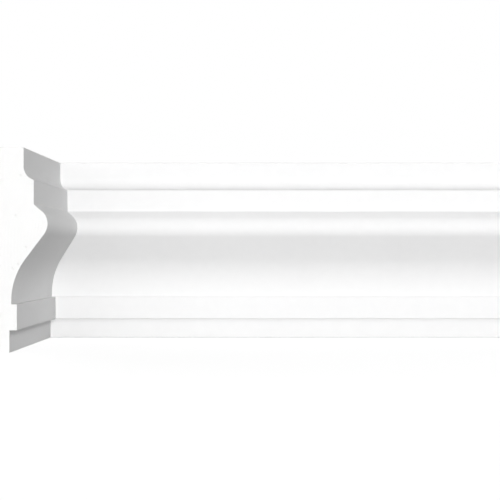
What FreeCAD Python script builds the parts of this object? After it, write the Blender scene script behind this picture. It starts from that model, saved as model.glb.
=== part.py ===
import FreeCAD, Part
import os
import Sketcher
from math import acos, atan2, cos, hypot, pi, sin, sqrt

# A wall moulding that turns an inside corner of a room: two lengths of one
# section, mitred where they meet. The origin is the corner of the two walls, at
# the moulding's bottom edge. The long run goes along +X with its back on the
# plane Y = 0. The return goes along -Y with its back on the plane X = 0. +Z is
# up. A depth is measured out from the wall, and a height up from the bottom.

# Driving sizes, in millimetres and degrees
SIZES = {
    # the two lengths, measured along their walls, and the corner between them
    "run_length": 2000.0,
    "return_length": 140.0,
    "corner_angle": 90.0,
    # whole section, out to the nose of the bulge
    "depth": 36.0,
    "height": 120.0,
    # base band
    "base_depth": 13.8,
    "base_height": 13.2,
    # lower fascia, one square step out from the base
    "fascia_depth": 18.1,
    "fascia_height": 15.2,
    # hollow: a short upright heel, then a large concave arc
    "heel_depth": 14.9,
    "heel_height": 2.1,
    "hollow_radius": 40.3,
    # bulge: its arc, and the height of the arc's centre
    "bulge_radius": 10.0,
    "bulge_height": 75.3,
    # upper band: its face, and the height of the crease under it
    "band_depth": 28.0,
    "band_foot": 86.6,
    # top band, and the cove below it
    "top_depth": 22.1,
    "top_height": 11.4,
    "cove_radius": 7.9,
    # easing of the outer arrises, and the saw's path past the section
    "arris_radius": 0.5,
    "saw_clearance": 5.0,
}
FIRST = 1
LAST = 2
CENTRE = 3
ORIGIN = (-1, 1)
UP = FreeCAD.Vector(0, 0, 1)
QUARTER_TURN = 90.0
SAME_PLACE = 1e-6

doc = FreeCAD.newDocument("corner_moulding")
sheet = doc.addObject("Spreadsheet::Sheet", "Sizes")
for row, (alias, value) in enumerate(SIZES.items(), 1):
    cell = f"A{row}"
    sheet.set(cell, str(value))
    sheet.setAlias(cell, alias)
doc.recompute()


def size(alias):
    """One driving size, as the sheet holds it."""
    return float(sheet.get(alias))


def on_circle(centre, radius, angle):
    """The point of a circle at this angle, counted from the depth axis."""
    return (centre[0] + radius * cos(angle), centre[1] + radius * sin(angle))


def section_points():
    """The section's corners, arc centres and tangent angles, as (depth, height) in mm."""
    depth, height = size("depth"), size("height")
    fascia_top = size("base_height") + size("fascia_height")
    heel_top = fascia_top + size("heel_height")
    top_foot = height - size("top_height")
    hollow_centre = (size("heel_depth") + size("hollow_radius"), heel_top)
    bulge_centre = (depth - size("bulge_radius"), size("bulge_height"))
    cove_centre = (size("top_depth") + size("cove_radius"), top_foot)
    crease = (size("band_depth"), size("band_foot"))

    # The slope touches the bulge from outside and the hollow from inside
    across = hollow_centre[0] - bulge_centre[0]
    upward = hollow_centre[1] - bulge_centre[1]
    both_radii = size("hollow_radius") + size("bulge_radius")
    slope_normal = atan2(upward, across) + acos(both_radii / hypot(across, upward))

    # The shoulder runs from the crease to the bulge and touches it
    across = crease[0] - bulge_centre[0]
    upward = crease[1] - bulge_centre[1]
    shoulder_normal = atan2(upward, across) - acos(size("bulge_radius") / hypot(across, upward))

    # The cove ends where its circle meets the upper band's face
    inward = cove_centre[0] - size("band_depth")
    cove_drop = sqrt(size("cove_radius") ** 2 - inward**2)
    return {
        "wall_foot": (0.0, 0.0),
        "base_foot": (size("base_depth"), 0.0),
        "base_top": (size("base_depth"), size("base_height")),
        "fascia_foot": (size("fascia_depth"), size("base_height")),
        "fascia_top": (size("fascia_depth"), fascia_top),
        "heel_foot": (size("heel_depth"), fascia_top),
        "heel_top": (size("heel_depth"), heel_top),
        "slope_foot": on_circle(hollow_centre, size("hollow_radius"), slope_normal + pi),
        "slope_top": on_circle(bulge_centre, size("bulge_radius"), slope_normal),
        "shoulder_foot": on_circle(bulge_centre, size("bulge_radius"), shoulder_normal),
        "crease": crease,
        "band_top": (size("band_depth"), top_foot - cove_drop),
        "top_foot": (size("top_depth"), top_foot),
        "top_front": (size("top_depth"), height),
        "wall_top": (0.0, height),
        "hollow_arc": (hollow_centre, size("hollow_radius"), slope_normal + pi, pi),
        "bulge_arc": (bulge_centre, size("bulge_radius"), slope_normal, shoulder_normal),
        "cove_arc": (cove_centre, size("cove_radius"), pi, pi + acos(inward / size("cove_radius"))),
    }


def origin_plane(body, role):
    """The body's own origin plane that has this role."""
    planes = [feature for feature in body.Origin.OriginFeatures if feature.Role == role]
    return planes[0]


def new_sketch(body, name, role):
    """An empty sketch on one of the body's origin planes."""
    sketch = body.newObject("Sketcher::SketchObject", f"{body.Name}_{name}")
    sketch.AttachmentSupport = [(origin_plane(body, role), "")]
    sketch.MapMode = "FlatFace"
    return sketch


def add_line(sketch, start, end):
    """A straight edge of the sketch."""
    line = Part.LineSegment(FreeCAD.Vector(*start, 0), FreeCAD.Vector(*end, 0))
    return sketch.addGeometry(line)


def add_arc(sketch, centre, radius, first_angle, last_angle):
    """A round edge of the sketch, turning anticlockwise."""
    circle = Part.Circle(FreeCAD.Vector(*centre, 0), UP, radius)
    return sketch.addGeometry(Part.ArcOfCircle(circle, first_angle, last_angle))


def drive(sketch, name, kind, places, formula):
    """A dimension of the sketch that follows the sheet."""
    value = float(sketch.evalExpression(formula))
    index = sketch.addConstraint(Sketcher.Constraint(kind, *places, value))
    sketch.renameConstraint(index, name)
    sketch.setExpression(f"Constraints.{name}", formula)


def check_sketch(sketch):
    """Stop when a sketch is left with a free or a clashing dimension."""
    doc.recompute()
    if sketch.solve() != 0 or not sketch.FullyConstrained:
        raise RuntimeError(f"{sketch.Name} is not fully constrained")


def draw_section(body):
    """The moulding's section: flat back and foot, square steps, and tangent curves."""
    sketch = new_sketch(body, "section", "XZ_Plane")
    point = section_points()
    straight = [
        ("bottom", "wall_foot", "base_foot", "Horizontal"),
        ("base", "base_foot", "base_top", "Vertical"),
        ("base_step", "base_top", "fascia_foot", "Horizontal"),
        ("fascia", "fascia_foot", "fascia_top", "Vertical"),
        ("fascia_step", "fascia_top", "heel_foot", "Horizontal"),
        ("heel", "heel_foot", "heel_top", "Vertical"),
        ("slope", "slope_foot", "slope_top", None),
        ("shoulder", "shoulder_foot", "crease", None),
        ("band", "crease", "band_top", "Vertical"),
        ("top_band", "top_foot", "top_front", "Vertical"),
        ("top", "top_front", "wall_top", "Horizontal"),
        ("back", "wall_top", "wall_foot", "Vertical"),
    ]
    edge = {}
    for name, start, end, direction in straight:
        edge[name] = add_line(sketch, point[start], point[end])
        if direction:
            sketch.addConstraint(Sketcher.Constraint(direction, edge[name]))
    for name in ("hollow", "bulge", "cove"):
        edge[name] = add_arc(sketch, *point[f"{name}_arc"])

    # Square corners, and the crease and arris where a curve or slope ends sharply
    sharp = [
        ("back", LAST, "bottom", FIRST),
        ("bottom", LAST, "base", FIRST),
        ("base", LAST, "base_step", FIRST),
        ("base_step", LAST, "fascia", FIRST),
        ("fascia", LAST, "fascia_step", FIRST),
        ("fascia_step", LAST, "heel", FIRST),
        ("shoulder", LAST, "band", FIRST),
        ("band", LAST, "cove", LAST),
        ("top_band", LAST, "top", FIRST),
        ("top", LAST, "back", FIRST),
    ]
    # Joins where one edge runs smoothly into the next
    smooth = [
        ("heel", LAST, "hollow", LAST),
        ("hollow", FIRST, "slope", FIRST),
        ("slope", LAST, "bulge", FIRST),
        ("bulge", LAST, "shoulder", FIRST),
        ("cove", FIRST, "top_band", FIRST),
    ]
    for kind, joins in (("Coincident", sharp), ("Tangent", smooth)):
        for one, one_end, other, other_end in joins:
            sketch.addConstraint(Sketcher.Constraint(kind, edge[one], one_end, edge[other], other_end))
    sketch.addConstraint(Sketcher.Constraint("Coincident", edge["bottom"], FIRST, *ORIGIN))

    depths = [
        ("base_depth", "bottom", LAST, "Sizes.base_depth"),
        ("fascia_depth", "fascia", FIRST, "Sizes.fascia_depth"),
        ("heel_depth", "heel", FIRST, "Sizes.heel_depth"),
        ("bulge_depth", "bulge", CENTRE, "Sizes.depth - Sizes.bulge_radius"),
        ("band_depth", "band", FIRST, "Sizes.band_depth"),
        ("top_depth", "top_band", FIRST, "Sizes.top_depth"),
    ]
    for name, target, end, formula in depths:
        drive(sketch, name, "DistanceX", (*ORIGIN, edge[target], end), formula)
    heights = [
        ("bulge_height", "bulge", CENTRE, "Sizes.bulge_height"),
        ("band_foot", "band", FIRST, "Sizes.band_foot"),
        ("height", "top_band", LAST, "Sizes.height"),
    ]
    for name, target, end, formula in heights:
        drive(sketch, name, "DistanceY", (*ORIGIN, edge[target], end), formula)
    for name in ("base", "fascia", "heel", "top_band"):
        alias = f"{name.split('_')[0]}_height"
        drive(sketch, alias, "DistanceY", (edge[name], FIRST, edge[name], LAST), f"Sizes.{alias}")
    for name in ("hollow", "bulge", "cove"):
        drive(sketch, f"{name}_radius", "Radius", (edge[name],), f"Sizes.{name}_radius")
    check_sketch(sketch)
    return sketch


def arris_edges(shape):
    """Names of the long outer edges that are eased, found by their place in the section."""
    point = section_points()
    outer = [point[name] for name in ("base_foot", "fascia_foot", "fascia_top", "band_top", "top_front")]
    names = []
    for number, edge in enumerate(shape.Edges, 1):
        ends = [(vertex.X, vertex.Z) for vertex in edge.Vertexes]
        for depth, height in outer:
            if all(hypot(x - depth, z - height) < SAME_PLACE for x, z in ends):
                names.append(f"Edge{number}")
    if len(names) != len(outer):
        raise RuntimeError("an outer arris is missing")
    return names


def cut_mitre(body, along):
    """Saw off the wedge past the plane that halves the corner; along is +1 or -1 on the Y axis."""
    sketch = new_sketch(body, "mitre_line", "XY_Plane")
    past, reach = "Sizes.saw_clearance", "(Sizes.depth + Sizes.saw_clearance)"
    cotangent = "/ tan(Sizes.corner_angle * 0.5 deg)"
    near = [-float(sketch.evalExpression(past)), -along * float(sketch.evalExpression(past + cotangent))]
    far = [float(sketch.evalExpression(reach)), along * float(sketch.evalExpression(reach + cotangent))]
    mitre = add_line(sketch, near, far)
    side = add_line(sketch, far, (far[0], near[1]))
    end = add_line(sketch, (far[0], near[1]), near)
    for one, other in ((mitre, side), (side, end), (end, mitre)):
        sketch.addConstraint(Sketcher.Constraint("Coincident", one, LAST, other, FIRST))
    sketch.addConstraint(Sketcher.Constraint("Vertical", side))
    sketch.addConstraint(Sketcher.Constraint("Horizontal", end))
    drive(sketch, "near_depth", "DistanceX", (mitre, FIRST, *ORIGIN), past)
    drive(sketch, "far_depth", "DistanceX", (*ORIGIN, mitre, LAST), reach)
    behind, ahead = (mitre, FIRST, *ORIGIN), (*ORIGIN, mitre, LAST)
    if along < 0:
        behind, ahead = (*ORIGIN, mitre, FIRST), (mitre, LAST, *ORIGIN)
    drive(sketch, "near_length", "DistanceY", behind, past + cotangent)
    drive(sketch, "far_length", "DistanceY", ahead, reach + cotangent)
    check_sketch(sketch)
    pocket = body.newObject("PartDesign::Pocket", f"{body.Name}_mitre")
    pocket.Profile = sketch
    pocket.Type = "ThroughAll"
    pocket.Reversed = True
    return pocket


def make_length(label, length, along):
    """One mitred length, its back on the plane X = 0, running along +Y or -Y from the corner."""
    body = doc.addObject("PartDesign::Body", label)
    body.Label = label
    stock = body.newObject("PartDesign::Pad", f"{label}_stock")
    stock.Profile = draw_section(body)
    stock.setExpression("Length", f"Sizes.{length}")
    stock.Reversed = along > 0
    doc.recompute()
    eased = body.newObject("PartDesign::Fillet", f"{label}_arrises")
    eased.Base = (stock, arris_edges(stock.Shape))
    eased.setExpression("Radius", "Sizes.arris_radius")
    doc.recompute()
    whole = eased.Shape.Volume
    mitred = cut_mitre(body, along)
    body.Tip = mitred
    doc.recompute()
    if not mitred.Shape.Volume < whole:
        raise RuntimeError(f"the mitre of {label} cuts nothing")
    return body


# The return lies as it is drawn when the corner is square
return_run = make_length("return_run", "return_length", -1)
return_run.Placement.Rotation = FreeCAD.Rotation(UP, QUARTER_TURN - size("corner_angle"))
return_run.setExpression("Placement.Rotation.Angle", "90 deg - Sizes.corner_angle * 1 deg")

# The long run is its mirror image, turned onto the other wall
long_run = make_length("long_run", "run_length", 1)
long_run.Placement.Rotation = FreeCAD.Rotation(UP, -QUARTER_TURN)
doc.recompute()

for item in doc.Objects:
    if "Invalid" in item.State or "Error" in item.State:
        raise RuntimeError(f"{item.Name} failed: {item.State}")
os.makedirs("parts", exist_ok=True)
for body in (long_run, return_run):
    if body.Shape.isNull() or not body.Shape.isValid():
        raise RuntimeError(f"{body.Label} has no valid solid")
    body.Shape.exportStep(f"parts/{body.Label}.step")
    print(body.Label, round(body.Shape.Volume), body.Shape.BoundBox)
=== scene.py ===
import math

import bmesh
import bpy
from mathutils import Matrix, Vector, noise


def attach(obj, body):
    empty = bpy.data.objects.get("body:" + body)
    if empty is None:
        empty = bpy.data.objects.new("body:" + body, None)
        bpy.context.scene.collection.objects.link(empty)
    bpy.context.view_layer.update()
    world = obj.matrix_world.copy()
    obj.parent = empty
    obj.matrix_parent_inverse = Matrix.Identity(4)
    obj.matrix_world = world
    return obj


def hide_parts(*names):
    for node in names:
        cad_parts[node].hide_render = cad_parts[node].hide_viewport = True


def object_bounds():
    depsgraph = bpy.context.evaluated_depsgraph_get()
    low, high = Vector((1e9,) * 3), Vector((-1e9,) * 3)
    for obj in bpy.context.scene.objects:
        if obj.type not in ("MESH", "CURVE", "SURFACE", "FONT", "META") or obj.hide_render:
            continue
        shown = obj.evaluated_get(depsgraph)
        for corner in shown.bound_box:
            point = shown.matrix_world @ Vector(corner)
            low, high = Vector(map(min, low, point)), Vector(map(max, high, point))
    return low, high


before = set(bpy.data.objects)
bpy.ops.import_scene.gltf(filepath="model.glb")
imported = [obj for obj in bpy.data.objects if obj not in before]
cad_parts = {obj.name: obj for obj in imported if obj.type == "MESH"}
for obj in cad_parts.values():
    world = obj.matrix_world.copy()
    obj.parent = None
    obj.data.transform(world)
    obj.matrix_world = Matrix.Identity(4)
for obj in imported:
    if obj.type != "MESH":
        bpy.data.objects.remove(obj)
cad_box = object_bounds()

MM = 0.001
RUN_LENGTH = cad_box[1].x
RETURN_LENGTH = -cad_box[0].y

# The section, in metres: a depth is measured out from the wall, and a height is a member's own.
# BULGE_LEVEL and BAND_FOOT are counted up from the bottom edge.
DEPTH = 36.0 * MM
HEIGHT = 120.0 * MM
BASE_DEPTH = 13.8 * MM
BASE_HEIGHT = 13.2 * MM
FASCIA_DEPTH = 18.1 * MM
FASCIA_HEIGHT = 15.2 * MM
HEEL_DEPTH = 14.9 * MM
HEEL_HEIGHT = 2.1 * MM
HOLLOW_RADIUS = 40.3 * MM
BULGE_RADIUS = 10.0 * MM
BULGE_LEVEL = 75.3 * MM
BAND_DEPTH = 28.0 * MM
BAND_FOOT = 86.6 * MM
COVE_RADIUS = 7.9 * MM
TOP_DEPTH = 22.1 * MM
TOP_HEIGHT = 11.4 * MM
ARRIS_RADIUS = 0.5 * MM

# How finely the section and the length are divided
CURVE_STEP = math.radians(2.5)
ARRIS_STEPS = 6
STRAIGHT_STEP = 2.0 * MM
RING_SPACING = 25.0 * MM
SHARP_ANGLE = math.radians(28)

# The saw leaves a slightly broken, uneven arris round a cut end
BROKEN_LEAST = 0.05 * MM
BROKEN_MOST = 0.22 * MM
BROKEN_PATCH = 3.0 * MM

# The colours of the three finishes
PRIMER_WHITE = (0.924, 0.924, 0.924)
PRIMER_SHADE = (0.906, 0.906, 0.907)
# Painted shade: the primer's colour as bounced light sees it, darker than the coat, which darkens the inner
# corners and creases
PAINTED_BOUNCE_SHADE = (0.58, 0.58, 0.58)
FOAM_WHITE = (0.950, 0.949, 0.945)
# Painted shade and the foam's own tone: the colour of its uneven patches, and of its cell pits and bubbles,
# darker as the shade inside them
FOAM_TONE_AND_PIT_SHADE = (0.88, 0.877, 0.868)
BACK_WHITE = (0.885, 0.875, 0.850)
# Painted shade and the back's own tone: the colour of its patches and sanding lines, and of its pores,
# darker as the shade inside them
BACK_TONE_AND_PORE_SHADE = (0.74, 0.72, 0.68)

# The primer: patches, each with the share of full white that it adds, orange peel, coating lines and
# dust nibs, whose radius is NIB_SHARE of their spacing
PRIMER_WIDE_PATCH = 70.0 * MM
PRIMER_WIDE_SHARE = 0.6
PRIMER_CLOSE_PATCH = 6.0 * MM
PRIMER_CLOSE_SHARE = 0.4
PRIMER_ROUGHNESS = (0.55, 0.65)
PRIMER_SHINE = 0.12
PEEL_SIZE = 0.8 * MM
PEEL_HEIGHT = 0.03 * MM
COAT_LINE_WIDTH = 2.5 * MM
COAT_LINE_HEIGHT = 0.004 * MM
NIB_SPACING = 11.0 * MM
NIB_SHARE = 0.02
NIB_HEIGHT = 0.04 * MM

# The sawn foam: cells, bubbles, patches, and the arcs that the saw's teeth leave, which wander a little
SAWN_CELL = 0.28 * MM
# Painted shade: the shares of the darker colour that the cell pits and the bubbles take, as the shade inside
# them
SAWN_PIT_SHADE_SHARE = 0.12
SAWN_CELL_DEPTH = 0.03 * MM
SAWN_BUBBLE_SPACING = 9.0 * MM
SAWN_BUBBLE_SHADE_SHARE = 0.4
SAWN_BUBBLE_DEPTH = 0.2 * MM
SAWN_PATCH = 12.0 * MM
SAWN_PATCH_SHARE = 0.12
SAWN_ROUGHNESS = (0.75, 0.9)
SAWN_SHINE = 0.2
SAW_BLADE_RADIUS = 125.0 * MM
TOOTH_SPACING = 1.9 * MM
TOOTH_HEIGHT = 0.012 * MM
WANDER_PATCH = 20.0 * MM
WANDER_REACH = 1.5 * MM

# The glue face: cells, pores, patches and sanding lines
BACK_CELL = 0.5 * MM
BACK_CELL_DEPTH = 0.02 * MM
BACK_PORE_SPACING = 7.0 * MM
BACK_PORE_DEPTH = 0.25 * MM
BACK_PATCH = 35.0 * MM
BACK_PATCH_SHARE = 0.25
BACK_LINE_WIDTH = 1.2 * MM
BACK_LINE_SHARE = 0.2
BACK_LINE_HEIGHT = 0.02 * MM
BACK_ROUGHNESS = (0.72, 0.86)
BACK_SHINE = 0.25

# In the grain of the lines, places along a length are multiplied by this, which draws the lines out
LINE_SQUEEZE = 0.015

# The range of noise, or of distance as a share of the spacing, over which an effect comes or goes
CLOUD_RANGE = (0.35, 0.65)
CELL_RANGE = (0.15, 0.55)
BUBBLE_RANGE = (0.06, 0.11)
LINE_RANGE = (0.3, 0.7)

# How many layers of finer detail each noise has
CLOUD_DETAIL = 3.0
LINE_DETAIL = 2.0
PLAIN_DETAIL = 1.0

# The photograph's frame and camera
PHOTO_SIDE = 500
FOCAL_PIXELS = 1166.0
AXIS_COLUMN = 272.4
AXIS_ROW = 253.85
SENSOR = 36.0
CAMERA_PLACE = (0.16698, -0.81915, 0.05782)

# The lamps: level is how bright a white surface gets that faces the lamp, before the dimmer that the lamps
# and the even light share. Azimuth 0 is the front and 90 the right.
LAMPS = {
    "front_box": {"level": 0.52, "azimuth": 5, "elevation": 2, "softness": 8},
    "right_near_box": {"level": 0.27, "azimuth": 20, "elevation": 2, "softness": 8},
    "right_far_box": {"level": 0.02, "azimuth": 30, "elevation": 2, "softness": 8},
    "right_high_box": {"level": 0.16, "azimuth": 30, "elevation": 25, "softness": 20},
    "side_high_box": {"level": 0.11, "azimuth": 90, "elevation": 40, "softness": 20},
    "left_near_box": {"level": 0.15, "azimuth": -15, "elevation": 2, "softness": 20},
    "left_far_box": {"level": 0.08, "azimuth": -35, "elevation": 2, "softness": 20},
    "left_high_box": {"level": 0.06, "azimuth": -60, "elevation": 50, "softness": 30},
    "back_box": {"level": 0.60, "azimuth": -145, "elevation": 12, "softness": 60},
}
AMBIENT_LEVEL = 0.09
DIMMER = 0.974
FLOOR_TONE = 0.46
FLOOR_LIFT = 0.81
FLOOR_SIDE = 60.0


def on_circle(centre, radius, angle):
    """The point of a circle at this angle, counted from the depth axis."""
    return (centre[0] + radius * math.cos(angle), centre[1] + radius * math.sin(angle))


def arc(centre, radius, start, end, steps=None):
    """Points along a round stretch, both ends included."""
    steps = steps or math.ceil(abs(end - start) / CURVE_STEP)
    return [on_circle(centre, radius, start + (end - start) * i / steps) for i in range(steps + 1)]


def square_arris(depth, height, start_turn):
    """A square outer corner, eased by a quarter circle that starts at this many quarter turns."""
    quarter = math.pi / 2
    middle = (start_turn + 0.5) * quarter
    centre = (
        depth - math.copysign(ARRIS_RADIUS, math.cos(middle)),
        height - math.copysign(ARRIS_RADIUS, math.sin(middle)),
    )
    return arc(centre, ARRIS_RADIUS, start_turn * quarter, (start_turn + 1) * quarter, ARRIS_STEPS)


def section_corners():
    """The section's outline as (depth, height), from the wall's foot up the front and back to the wall."""
    fascia_top = BASE_HEIGHT + FASCIA_HEIGHT
    heel_top = fascia_top + HEEL_HEIGHT
    top_foot = HEIGHT - TOP_HEIGHT
    hollow_centre = (HEEL_DEPTH + HOLLOW_RADIUS, heel_top)
    bulge_centre = (DEPTH - BULGE_RADIUS, BULGE_LEVEL)
    cove_centre = (TOP_DEPTH + COVE_RADIUS, top_foot)

    # The slope touches the bulge from outside and the hollow from inside
    across, upward = hollow_centre[0] - bulge_centre[0], hollow_centre[1] - bulge_centre[1]
    reach = (HOLLOW_RADIUS + BULGE_RADIUS) / math.hypot(across, upward)
    slope_normal = math.atan2(upward, across) + math.acos(reach)

    # The shoulder runs from the crease to the bulge and touches it
    across, upward = BAND_DEPTH - bulge_centre[0], BAND_FOOT - bulge_centre[1]
    reach = BULGE_RADIUS / math.hypot(across, upward)
    shoulder_normal = math.atan2(upward, across) - math.acos(reach)

    # The upper band's arris is a small circle that touches the band's face and the cove
    inward = cove_centre[0] - (BAND_DEPTH - ARRIS_RADIUS)
    between = COVE_RADIUS + ARRIS_RADIUS
    arris_centre = (BAND_DEPTH - ARRIS_RADIUS, top_foot - math.sqrt(between**2 - inward**2))
    cove_end = math.acos(inward / between)

    outline = [(0.0, 0.0)]
    outline += square_arris(BASE_DEPTH, 0.0, -1)
    outline += [(BASE_DEPTH, BASE_HEIGHT)]
    outline += square_arris(FASCIA_DEPTH, BASE_HEIGHT, -1)
    outline += square_arris(FASCIA_DEPTH, fascia_top, 0)
    outline += [(HEEL_DEPTH, fascia_top)]
    outline += arc(hollow_centre, HOLLOW_RADIUS, math.pi, math.pi + slope_normal)
    outline += arc(bulge_centre, BULGE_RADIUS, slope_normal, shoulder_normal)
    outline += [(BAND_DEPTH, BAND_FOOT)]
    outline += arc(arris_centre, ARRIS_RADIUS, 0.0, cove_end, ARRIS_STEPS)
    outline += arc(cove_centre, COVE_RADIUS, math.pi + cove_end, math.pi)[1:]
    outline += square_arris(TOP_DEPTH, HEIGHT, 0)
    outline += [(0.0, HEIGHT)]
    return outline


def section_outline():
    """The outline with its long straight stretches divided, once round."""
    corners = section_corners()
    outline = []
    for here, following in zip(corners, corners[1:] + corners[:1]):
        steps = math.ceil(math.dist(here, following) / STRAIGHT_STEP)
        for i in range(steps):
            share = i / steps
            outline.append(tuple(a + (b - a) * share for a, b in zip(here, following)))
    return outline


def drawn_in(outline, amounts):
    """The outline with each point moved into the section by its own amount."""
    moved = []
    for i, (depth, height) in enumerate(outline):
        before, after = outline[i - 1], outline[(i + 1) % len(outline)]
        arriving = Vector((depth - before[0], height - before[1])).normalized()
        leaving = Vector((after[0] - depth, after[1] - height)).normalized()
        inward = Vector((-arriving.y - leaving.y, arriving.x + leaving.x))
        inward /= 1 + arriving.dot(leaving)
        moved.append((depth + inward.x * amounts[i], height + inward.y * amounts[i]))
    return moved


def on_long_run(depth, along, height):
    """A place on the long run, whose back is on the wall Y = 0."""
    return (along, -depth, height)


def on_return(depth, along, height):
    """A place on the return, whose back is on the wall X = 0."""
    return (depth, -along, height)


def broken_amounts(outline, salt):
    """How far the saw broke the arris at each point of the outline, uneven but the same each time."""
    amounts = []
    for depth, height in outline:
        unevenness = noise.noise(Vector((depth / BROKEN_PATCH, height / BROKEN_PATCH, salt)))
        share = min(1.0, max(0.0, 0.5 + unevenness))
        amounts.append(BROKEN_LEAST + (BROKEN_MOST - BROKEN_LEAST) * share)
    return amounts


def ring_places(outline, length, place):
    """The rings of points from the mitre to the sawn end, whose arris is slightly broken."""
    rings = [[place(depth, depth, height) for depth, height in outline]]
    spaces = math.ceil((length - DEPTH) / RING_SPACING)
    for i in range(1, spaces):
        along = DEPTH + (length - DEPTH) * i / spaces
        rings.append([place(depth, along, height) for depth, height in outline])
    back_off = broken_amounts(outline, length)
    rings.append([place(d, length - amount, h) for (d, h), amount in zip(outline, back_off)])
    end = drawn_in(outline, broken_amounts(outline, -length))
    rings.append([place(depth, length, height) for depth, height in end])
    return rings


PRIMED, SAWN, BACK = 0, 1, 2


def mitred_length(name, node, length, place, finishes):
    """One length of the moulding, mitred at the corner and cut square at its far end."""
    outline = section_outline()
    count = len(outline)
    mesh = bpy.data.meshes.new(name)
    shape = bmesh.new()
    rings = ring_places(outline, length, place)
    loops = [[shape.verts.new(point) for point in ring] for ring in rings]
    for ring, following in zip(loops, loops[1:]):
        for i in range(count):
            j = (i + 1) % count
            face = shape.faces.new((ring[i], ring[j], following[j], following[i]))
            face.smooth = True
            if following is loops[-1]:
                face.material_index = SAWN
            elif outline[i][0] == 0.0 and outline[j][0] == 0.0:
                face.material_index = BACK
            else:
                face.material_index = PRIMED
    for ring in (loops[0], loops[-1]):
        cut = shape.faces.new(ring)
        cut.material_index = SAWN
    bmesh.ops.recalc_face_normals(shape, faces=shape.faces)
    shape.to_mesh(mesh)
    shape.free()
    mesh.set_sharp_from_angle(angle=SHARP_ANGLE)
    for cut in mesh.polygons[-2:]:
        cut.use_smooth = False

    piece = bpy.data.objects.new(name, mesh)
    bpy.context.scene.collection.objects.link(piece)
    for material in finishes:
        mesh.materials.append(material)
    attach(piece, "root")
    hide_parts(node)
    return piece


def add_node(tree, kind, settings=None, **inputs):
    """A shader node with its settings, and its inputs given as numbers or as the sockets that feed them."""
    made = tree.nodes.new("ShaderNode" + kind)
    for setting, value in (settings or {}).items():
        setattr(made, setting, value)
    feed(tree, made, **inputs)
    return made


def feed(tree, made, **inputs):
    """Feeds a node's inputs, named with _ for a space, or by their number after in_."""
    for name, value in inputs.items():
        label = int(name.removeprefix("in_")) if name.startswith("in_") else name.replace("_", " ")
        socket = made.inputs[label]
        if isinstance(value, bpy.types.NodeSocket):
            tree.links.new(value, socket)
        else:
            socket.default_value = value


def math_node(tree, operation, first, second=0.0):
    """The value of a sum on two numbers."""
    return add_node(tree, "Math", {"operation": operation}, in_0=first, in_1=second).outputs[0]


def ramp(tree, value, low, high, from_low=0.0, from_high=1.0):
    """A value taken from one range to another and kept inside it."""
    made = add_node(
        tree, "MapRange", {"interpolation_type": "SMOOTHSTEP"},
        Value=value, From_Min=from_low, From_Max=from_high, To_Min=low, To_Max=high,
    )
    return made.outputs["Result"]


def effect(name, inputs, outputs):
    """An empty node group with these named inputs and outputs, ready to be filled."""
    group = bpy.data.node_groups.new(name, "ShaderNodeTree")
    for label, (kind, value) in inputs.items():
        socket = group.interface.new_socket(label, in_out="INPUT", socket_type="NodeSocket" + kind)
        socket.default_value = value
    for label in outputs:
        group.interface.new_socket(label, in_out="OUTPUT", socket_type="NodeSocketFloat")
    return group, group.nodes.new("NodeGroupInput").outputs, group.nodes.new("NodeGroupOutput")


def scaled_noise(tree, place, size, detail, stretch=(1.0, 1.0, 1.0)):
    """Noise whose patches measure about this size, longer along an axis where stretch is below 1."""
    squeezed = add_node(tree, "VectorMath", {"operation": "MULTIPLY"}, in_0=place, in_1=stretch)
    grain = add_node(
        tree, "TexNoise", Vector=squeezed.outputs[0], Detail=detail,
        Scale=math_node(tree, "DIVIDE", 1.0, size),
    )
    return grain.outputs["Fac"]


def make_clouding():
    """Wide, soft unevenness, such as a sprayed coat or moulded foam has: a value from low to high."""
    group, given, result = effect(
        "clouding",
        {
            "Place": ("Vector", (0, 0, 0)), "Patch": ("Float", PRIMER_WIDE_PATCH),
            "Low": ("Float", 0.0), "High": ("Float", 1.0),
        },
        ["Value"],
    )
    patches = scaled_noise(group, given["Place"], given["Patch"], CLOUD_DETAIL)
    feed(group, result, Value=ramp(group, patches, given["Low"], given["High"], *CLOUD_RANGE))
    return group


def make_foam_cells():
    """Bare foam cut through: fine open cells everywhere, and a few wide bubbles."""
    group, given, result = effect(
        "foam_cells",
        {
            "Place": ("Vector", (0, 0, 0)), "Cell": ("Float", SAWN_CELL),
            "Bubble Spacing": ("Float", SAWN_BUBBLE_SPACING),
        },
        ["Cell Pits", "Bubbles"],
    )
    cells = add_node(
        group, "TexVoronoi", Vector=given["Place"], Scale=math_node(group, "DIVIDE", 1.0, given["Cell"]),
    )
    bubbles = add_node(
        group, "TexVoronoi", Vector=given["Place"],
        Scale=math_node(group, "DIVIDE", 1.0, given["Bubble Spacing"]),
    )
    feed(
        group, result,
        Cell_Pits=ramp(group, cells.outputs["Distance"], 1.0, 0.0, *CELL_RANGE),
        Bubbles=ramp(group, bubbles.outputs["Distance"], 1.0, 0.0, *BUBBLE_RANGE),
    )
    return group


def make_tool_lines():
    """Long fine lines that a tool or a coating head leaves: a height from -1 to 1."""
    group, given, result = effect(
        "tool_lines",
        {
            "Place": ("Vector", (0, 0, 0)), "Stretch": ("Vector", (1, 1, 1)),
            "Width": ("Float", COAT_LINE_WIDTH),
        },
        ["Height"],
    )
    lines = scaled_noise(group, given["Place"], given["Width"], LINE_DETAIL, given["Stretch"])
    feed(group, result, Height=ramp(group, lines, -1.0, 1.0, *LINE_RANGE))
    return group


EFFECTS = {
    "clouding": make_clouding(),
    "foam_cells": make_foam_cells(),
    "tool_lines": make_tool_lines(),
}


def use_effect(tree, name, **inputs):
    """The outputs of an effect, placed in a material with its own values."""
    made = add_node(tree, "Group", {"node_tree": EFFECTS[name]}, **inputs)
    return made.outputs


def clouding_of(tree, place, patch, share):
    """Soft unevenness with patches of this size, from 0 to this share."""
    return use_effect(tree, "clouding", Place=place, Patch=patch, Low=0.0, High=share)["Value"]


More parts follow.
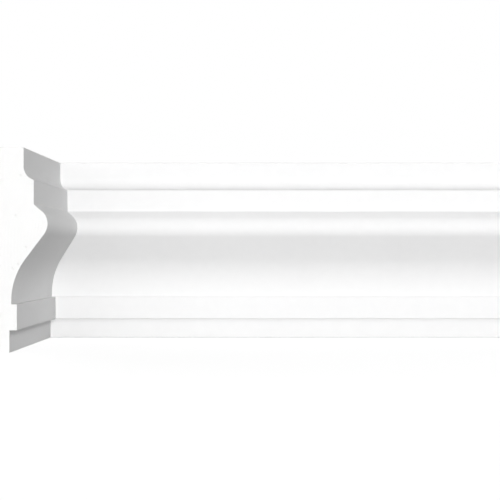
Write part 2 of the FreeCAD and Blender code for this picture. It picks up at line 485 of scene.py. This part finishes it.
def new_finish(name):
    """An empty finish: its node tree, its shader and the place on the piece in metres."""
    material = bpy.data.materials.new(name)
    material.use_nodes = True
    tree = material.node_tree
    place = add_node(tree, "TexCoord").outputs["Object"]
    return material, tree, tree.nodes["Principled BSDF"], place


def opaque(colour):
    """A colour with its alpha of 1; a socket that gives a colour stays as it is."""
    return colour if isinstance(colour, bpy.types.NodeSocket) else (*colour, 1)


def blend_colours(tree, share, first, second):
    """The colour between two, by a share that changes over the surface."""
    mix = add_node(tree, "Mix", {"data_type": "RGBA"}, in_0=share, in_6=opaque(first), in_7=opaque(second))
    return mix.outputs[2]


def total_height(tree, parts):
    """The sum of several reliefs, each a value and its height in metres."""
    total = None
    for value, height in parts:
        relief = math_node(tree, "MULTIPLY", value, height)
        total = relief if total is None else math_node(tree, "ADD", total, relief)
    return total


def give_relief(tree, shader, height):
    """Turns a height in metres into the shader's normal."""
    bump = add_node(tree, "Bump", Strength=1.0, Distance=1.0, Height=height)
    tree.links.new(bump.outputs["Normal"], shader.inputs["Normal"])


def make_primer(name, stretch):
    """Sprayed white primer: fine orange peel, faint lines along the length, a few dust nibs, and painted
    shade in the inner corners.
    """
    material, tree, shader, place = new_finish(name)
    wide = clouding_of(tree, place, PRIMER_WIDE_PATCH, PRIMER_WIDE_SHARE)
    close = clouding_of(tree, place, PRIMER_CLOSE_PATCH, PRIMER_CLOSE_SHARE)
    coat = blend_colours(tree, math_node(tree, "ADD", wide, close), PRIMER_SHADE, PRIMER_WHITE)
    # Painted shade: light that comes off another face sees a darker coat than the camera does, so the inner
    # corners and creases keep a painted shade
    bounced = add_node(tree, "LightPath").outputs["Is Diffuse Ray"]
    feed(tree, shader, Base_Color=blend_colours(tree, bounced, coat, PAINTED_BOUNCE_SHADE))
    feed(tree, shader, Roughness=ramp(tree, wide, *PRIMER_ROUGHNESS), Specular_IOR_Level=PRIMER_SHINE)

    peel = scaled_noise(tree, place, PEEL_SIZE, PLAIN_DETAIL)
    lines = use_effect(tree, "tool_lines", Place=place, Stretch=stretch, Width=COAT_LINE_WIDTH)["Height"]
    dust = add_node(tree, "TexVoronoi", Vector=place, Scale=1 / NIB_SPACING)
    nib = ramp(tree, dust.outputs["Distance"], 1.0, 0.0, 0.0, NIB_SHARE)
    reliefs = [(peel, PEEL_HEIGHT), (lines, COAT_LINE_HEIGHT), (nib, NIB_HEIGHT)]
    give_relief(tree, shader, total_height(tree, reliefs))
    return material


def make_sawn_foam(name, blade_centre):
    """Dense foam cut by a circular saw: open cells, and the shallow arcs of the blade's teeth."""
    material, tree, shader, place = new_finish(name)
    cells = use_effect(tree, "foam_cells", Place=place, Cell=SAWN_CELL, Bubble_Spacing=SAWN_BUBBLE_SPACING)
    patches = clouding_of(tree, place, SAWN_PATCH, SAWN_PATCH_SHARE)
    # Painted shade: the cell pits and bubbles take the darker colour as the shade inside them; the patches
    # are the foam's own uneven tone
    pit_shade = math_node(tree, "MULTIPLY", cells["Cell Pits"], SAWN_PIT_SHADE_SHARE)
    bubbles = math_node(tree, "MULTIPLY", cells["Bubbles"], SAWN_BUBBLE_SHADE_SHARE)
    tone_and_pit_shade_share = math_node(tree, "MAXIMUM", bubbles, math_node(tree, "ADD", patches, pit_shade))
    feed(tree, shader, Base_Color=blend_colours(tree, tone_and_pit_shade_share, FOAM_WHITE, FOAM_TONE_AND_PIT_SHADE))
    dullness = ramp(tree, cells["Cell Pits"], *SAWN_ROUGHNESS)
    feed(tree, shader, Roughness=dullness, Specular_IOR_Level=SAWN_SHINE)

    away = add_node(tree, "VectorMath", {"operation": "DISTANCE"}, in_0=place, in_1=blade_centre)
    wander = scaled_noise(tree, place, WANDER_PATCH, PLAIN_DETAIL)
    turned = math_node(tree, "ADD", away.outputs["Value"], math_node(tree, "MULTIPLY", wander, WANDER_REACH))
    teeth = math_node(tree, "SINE", math_node(tree, "MULTIPLY", turned, math.tau / TOOTH_SPACING))
    pit_relief = (cells["Cell Pits"], -SAWN_CELL_DEPTH)
    bubble_relief = (cells["Bubbles"], -SAWN_BUBBLE_DEPTH)
    give_relief(tree, shader, total_height(tree, [pit_relief, bubble_relief, (teeth, TOOTH_HEIGHT)]))
    return material


def make_raw_back(name, stretch):
    """The bare back that takes the glue: planed foam, a little creamy, with sanding lines and open pores."""
    material, tree, shader, place = new_finish(name)
    cells = use_effect(tree, "foam_cells", Place=place, Cell=BACK_CELL, Bubble_Spacing=BACK_PORE_SPACING)
    patches = clouding_of(tree, place, BACK_PATCH, BACK_PATCH_SHARE)
    lines = use_effect(tree, "tool_lines", Place=place, Stretch=stretch, Width=BACK_LINE_WIDTH)["Height"]
    scoured = math_node(tree, "ADD", patches, ramp(tree, lines, 0.0, BACK_LINE_SHARE))
    # Painted shade: the pores take the darker colour as the shade inside them; the patches and sanding lines
    # are the back's own tone
    tone_and_pit_shade_share = math_node(tree, "MAXIMUM", cells["Bubbles"], scoured)
    feed(tree, shader, Base_Color=blend_colours(tree, tone_and_pit_shade_share, BACK_WHITE, BACK_TONE_AND_PORE_SHADE))
    feed(tree, shader, Roughness=ramp(tree, lines, *BACK_ROUGHNESS), Specular_IOR_Level=BACK_SHINE)
    pit_relief = (cells["Cell Pits"], -BACK_CELL_DEPTH)
    pore_relief = (cells["Bubbles"], -BACK_PORE_DEPTH)
    give_relief(tree, shader, total_height(tree, [pit_relief, pore_relief, (lines, BACK_LINE_HEIGHT)]))
    return material


def finish_length(name, node, length, place):
    """Makes one length and gives it its three finishes, with their grain along this length."""
    along = place(0.0, 1.0, 0.0)
    stretch = [LINE_SQUEEZE if share else 1.0 for share in along]
    blade_centre = place(SAW_BLADE_RADIUS, length, HEIGHT / 2)
    finishes = [
        make_primer(f"white_primer_{name}", stretch),
        make_sawn_foam(f"sawn_foam_{name}", blade_centre),
        make_raw_back(f"raw_back_{name}", stretch),
    ]
    return mitred_length(f"primed_{name}", node, length, place, finishes)


def white_to_the_eye(tree):
    """A value of 1 for camera, glossy and transmitted rays, which see a white studio."""
    path = tree.nodes.new("ShaderNodeLightPath")
    gloss = math_node(tree, "MAXIMUM", path.outputs["Is Glossy Ray"], path.outputs["Is Transmission Ray"])
    return math_node(tree, "MAXIMUM", path.outputs["Is Camera Ray"], gloss)


def make_world():
    """Even white light from all round, and plain white where the camera looks past the floor."""
    world = bpy.data.worlds.new("studio")
    bpy.context.scene.world = world
    world.use_nodes = True
    tree = world.node_tree
    ambient = tree.nodes["Background"]
    feed(tree, ambient, Color=(1, 1, 1, 1), Strength=AMBIENT_LEVEL * DIMMER)
    white = add_node(tree, "Background", Color=(1, 1, 1, 1), Strength=1.0)
    mix = add_node(
        tree, "MixShader",
        in_0=white_to_the_eye(tree), in_1=ambient.outputs[0], in_2=white.outputs[0],
    )
    tree.links.new(mix.outputs[0], tree.nodes["World Output"].inputs["Surface"])


def make_floor():
    """A plain pale floor that keeps the object's shadow and looks white to the camera."""
    mesh = bpy.data.meshes.new("studio_floor")
    half = FLOOR_SIDE / 2
    corners = [(-half, -half, 0), (half, -half, 0), (half, half, 0), (-half, half, 0)]
    mesh.from_pydata(corners, [], [(0, 1, 2, 3)])
    floor = bpy.data.objects.new("studio_floor", mesh)
    bpy.context.scene.collection.objects.link(floor)

    material = bpy.data.materials.new("pale_floor")
    material.use_nodes = True
    tree = material.node_tree
    tree.nodes.clear()
    paper = add_node(tree, "BsdfDiffuse", Color=(FLOOR_TONE, FLOOR_TONE, FLOOR_TONE, 1))
    lift = math_node(tree, "MULTIPLY", white_to_the_eye(tree), FLOOR_LIFT)
    glow = add_node(tree, "Emission", Color=(1, 1, 1, 1), Strength=lift)
    both = add_node(tree, "AddShader", in_0=paper.outputs[0], in_1=glow.outputs[0])
    add_node(tree, "OutputMaterial", Surface=both.outputs[0])
    mesh.materials.append(material)


def make_lamp(name, level, azimuth, elevation, softness):
    """A soft lamp far away; its azimuth, elevation and softness are in degrees."""
    lamp = bpy.data.lights.new(name, "SUN")
    lamp.energy = level * DIMMER * math.pi
    lamp.angle = math.radians(softness)
    sun = bpy.data.objects.new(name, lamp)
    bpy.context.scene.collection.objects.link(sun)
    turn, lift = math.radians(azimuth), math.radians(elevation)
    flat = math.cos(lift)
    towards = Vector((math.sin(turn) * flat, -math.cos(turn) * flat, math.sin(lift)))
    sun.rotation_euler = towards.to_track_quat("Z", "Y").to_euler()


def make_camera():
    """The photograph's camera, level, with its axis off the middle of the frame."""
    data = bpy.data.cameras.new("photo_camera")
    data.sensor_width = SENSOR
    data.lens = SENSOR * FOCAL_PIXELS / PHOTO_SIDE
    data.shift_x = (PHOTO_SIDE / 2 - AXIS_COLUMN) / PHOTO_SIDE
    data.shift_y = (AXIS_ROW - PHOTO_SIDE / 2) / PHOTO_SIDE
    camera = bpy.data.objects.new("photo_camera", data)
    bpy.context.scene.collection.objects.link(camera)
    camera.location = CAMERA_PLACE
    camera.rotation_euler = (math.pi / 2, 0, 0)
    bpy.context.scene.camera = camera


finish_length("long_run", "long_run", RUN_LENGTH, on_long_run)
finish_length("return", "return_run", RETURN_LENGTH, on_return)
make_world()
make_floor()
for lamp_name, lamp in LAMPS.items():
    make_lamp(lamp_name, **lamp)
make_camera()
bpy.context.scene.view_settings.view_transform = "Standard"
